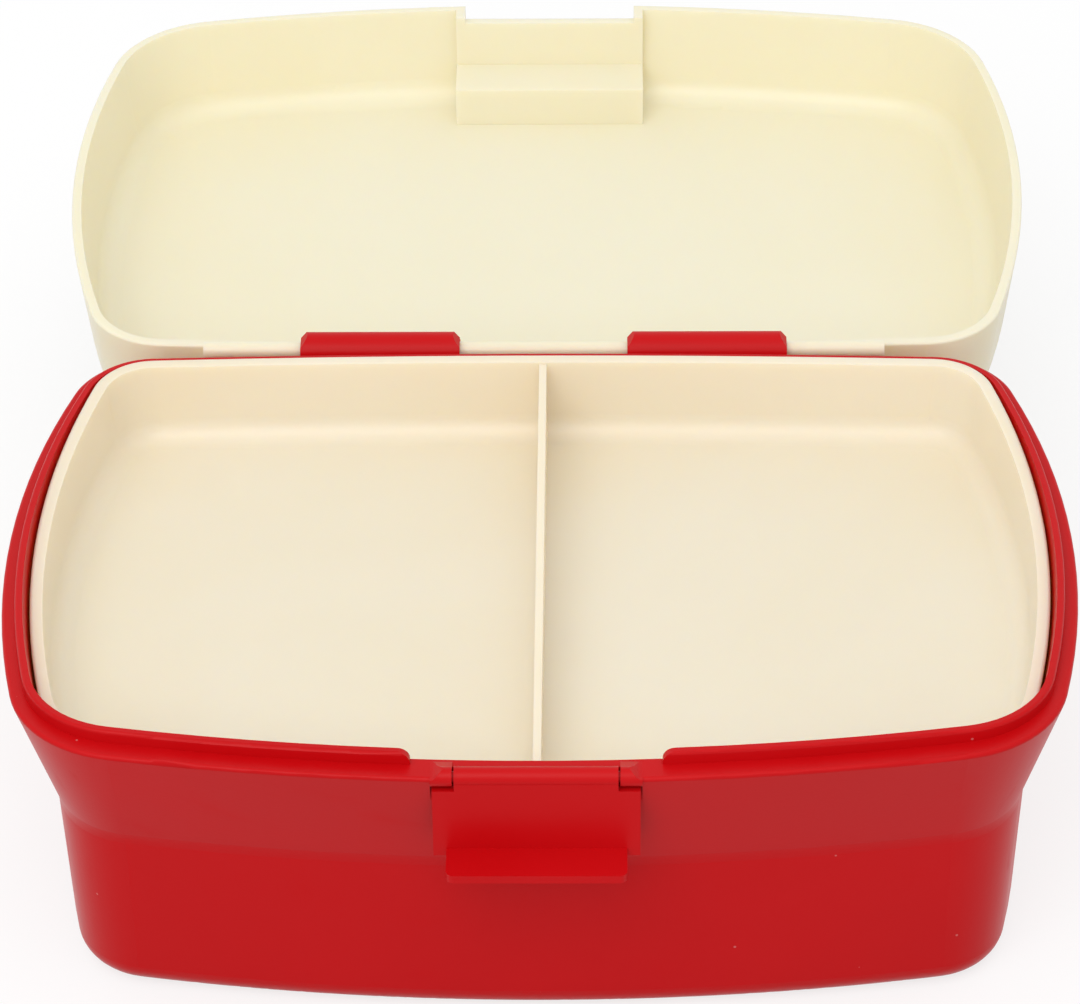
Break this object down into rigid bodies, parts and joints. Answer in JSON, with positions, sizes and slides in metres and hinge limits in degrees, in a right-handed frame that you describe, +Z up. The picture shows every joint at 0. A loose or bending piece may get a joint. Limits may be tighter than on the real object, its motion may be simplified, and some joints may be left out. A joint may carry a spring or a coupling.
{
  "type": "lunch box",
  "caption": "Moulded plastic lunch box: flared base with a hooked-on lid lying open behind it, a lift-out divided tray and a front flap clip.",
  "frame": {"origin": "middle of the flat underside of the base", "axes": "+X to the right along the width, +Y to the back where the lid is hinged, +Z up; the clip is at -Y"},
  "size_m": [0.1798, 0.2506, 0.0596],
  "materials": {
    "red_plastic": "satin moulded polypropylene",
    "cream_plastic": "satin moulded polypropylene, slightly translucent",
    "lid_plastic": "satin moulded polypropylene, slightly translucent"
  },
  "bodies": {
    "base": {"base_shell": "red_plastic"},
    "tray": {"inner_tray": "cream_plastic"},
    "lid": {"lid_shell": "lid_plastic"},
    "clip": {"front_clip": "red_plastic"}
  },
  "joints": [
    {"name": "lid_hinge", "type": "hinge", "parent": "base", "child": "lid", "pos_m": [0, 0.0622, 0.0555], "axis": [1, 0, 0], "range_deg": [0, 179]},
    {"name": "clip_hinge", "type": "hinge", "parent": "base", "child": "clip", "pos_m": [0, -0.0583, 0.0561], "axis": [-1, 0, 0], "range_deg": [0, 180]},
    {"name": "tray_lift", "type": "slide", "parent": "base", "child": "tray", "axis": [0, 0, 1], "range_m": [0, 0.008]}
  ]
}
